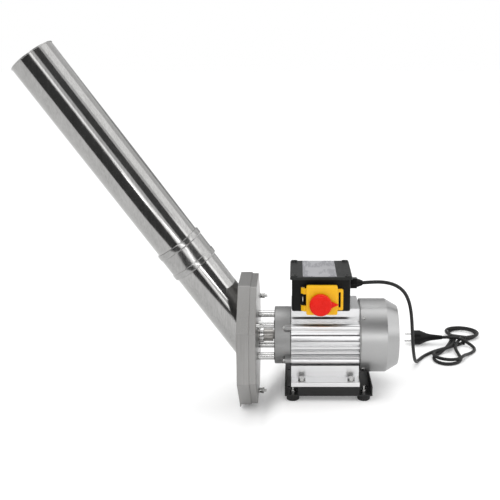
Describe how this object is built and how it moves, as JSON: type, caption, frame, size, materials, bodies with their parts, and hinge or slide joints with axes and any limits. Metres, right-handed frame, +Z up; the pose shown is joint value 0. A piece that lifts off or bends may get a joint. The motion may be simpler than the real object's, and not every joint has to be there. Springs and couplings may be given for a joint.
{
  "type": "grain auger",
  "caption": "Direct-drive grain and fodder feeder: sloped stainless inlet tube, octagonal rotor housing open below, and a foot-mounted electric motor with safety switch and mains lead.",
  "frame": {"origin": "centre of the four fixing holes of the base, on the underside of the base frame", "axes": "+Z up, +X along the motor shaft from the housing to the fan cover, -Y the side with the switch"},
  "size_m": [1.0828, 0.5171, 0.7896],
  "materials": {
    "brushed_stainless": "vertical brushed grain, matt sheen",
    "polished_tube": "polished stainless, drawn along its length",
    "satin_collar": "satin stainless",
    "polished_rod": "bright turned steel",
    "blade_steel": "ground steel",
    "zinc_fasteners": "bright zinc plate",
    "bearing_steel": "ground steel",
    "laminated_iron": "stacked sheet",
    "copper_windings": "varnished copper wire",
    "cast_aluminium": "fine cast and turned, matt",
    "extruded_aluminium": "extruded, satin anodised",
    "silver_paint": "satin silver paint",
    "fan_plastic": "moulded",
    "black_paint": "satin black paint",
    "black_rubber": "soft black rubber",
    "black_plastic": "fine moulded texture",
    "grey_plastic": "fine moulded texture, dark grey",
    "label_foil": null,
    "yellow_plastic": "moulded yellow",
    "red_plastic": "moulded red",
    "green_plastic": "moulded green"
  },
  "bodies": {
    "frame": {"base_bars": "black_paint", "bolt_nuts": "zinc_fasteners", "box_body": "black_plastic", "box_lid": "grey_plastic", "capacitor": "black_plastic", "cord_hank": "black_rubber", "cord_tie": "black_plastic", "cover_studs": "zinc_fasteners", "cross_rails": "black_paint", "fan_cover": "silver_paint", "fan_cover_screws": "zinc_fasteners", "foot_bolts": "zinc_fasteners", "foot_nuts": "zinc_fasteners", "foot_studs": "zinc_fasteners", "front_bearing": "bearing_steel", "front_cover": "brushed_stainless", "front_endshield": "cast_aluminium", "gland_body": "black_plastic", "gland_locknut": "black_plastic", "gland_nut": "black_plastic", "hinge_pin": "polished_rod", "label_plate": "label_foil", "lid_gasket": "black_rubber", "lid_screws": "zinc_fasteners", "lower_feed_tube": "polished_tube", "motor_body": "extruded_aluminium", "plug_body": "black_plastic", "plug_pins": "polished_rod", "power_cord": "black_rubber", "rear_bearing": "bearing_steel", "rear_endshield": "cast_aluminium", "rear_pan": "brushed_stainless", "rubber_feet": "black_rubber", "standoff_rods": "polished_rod", "standoff_screws": "zinc_fasteners", "stator_core": "laminated_iron", "stator_windings": "copper_windings", "switch_base": "black_plastic", "tie_bolts": "zinc_fasteners", "tube_collar": "satin_collar"},
    "rotor": {"rotor_hub": "blade_steel", "shaft_collar": "polished_rod", "collar_screw": "zinc_fasteners", "rotor_disc": "blade_steel", "cutter_blades": "blade_steel", "blade_screws": "zinc_fasteners", "disc_screws": "zinc_fasteners", "rotor_bolt": "zinc_fasteners", "motor_shaft": "blade_steel", "rotor_core": "laminated_iron", "cooling_fan": "fan_plastic"},
    "upper_tube": {"upper_feed_tube": "polished_tube"},
    "flap": {"switch_flap": "yellow_plastic"},
    "mushroom": {"emergency_button": "red_plastic"},
    "start_key": {"start_button": "green_plastic"},
    "stop_key": {"stop_button": "red_plastic"},
    "nut_1": {"wing_nut_1": "zinc_fasteners"},
    "nut_2": {"wing_nut_2": "zinc_fasteners"},
    "nut_3": {"wing_nut_3": "zinc_fasteners"}
  },
  "joints": [
    {"name": "rotor_spin", "type": "hinge", "parent": "frame", "child": "rotor", "pos_m": [-0.155, 0, 0.1076], "axis": [1, 0, 0], "continuous": true},
    {"name": "tube_slide", "type": "slide", "parent": "frame", "child": "upper_tube", "axis": [-0.5878, 0, 0.809], "range_m": [0, 0.032]},
    {"name": "flap_hinge", "type": "hinge", "parent": "frame", "child": "flap", "pos_m": [-0.056, -0.0765, 0.2161], "axis": [0, 0, -1], "range_deg": [0, 110]},
    {"name": "mushroom_push", "type": "slide", "parent": "flap", "child": "mushroom", "axis": [0, 1, 0], "range_m": [0, 0.004], "stiffness_N_per_m": 400},
    {"name": "start_push", "type": "slide", "parent": "frame", "child": "start_key", "axis": [0, 1, 0], "range_m": [0, 0.0018], "stiffness_N_per_m": 300},
    {"name": "stop_push", "type": "slide", "parent": "frame", "child": "stop_key", "axis": [0, 1, 0], "range_m": [0, 0.0018], "stiffness_N_per_m": 300},
    {"name": "nut_1_turn", "type": "hinge", "parent": "frame", "child": "nut_1", "pos_m": [-0.155, 0.11085, 0.165], "axis": [1, 0, 0], "continuous": true},
    {"name": "nut_2_turn", "type": "hinge", "parent": "frame", "child": "nut_2", "pos_m": [-0.155, -0.11085, 0.165], "axis": [1, 0, 0], "continuous": true},
    {"name": "nut_3_turn", "type": "hinge", "parent": "frame", "child": "nut_3", "pos_m": [-0.155, 0, -0.027], "axis": [1, 0, 0], "continuous": true}
  ]
}
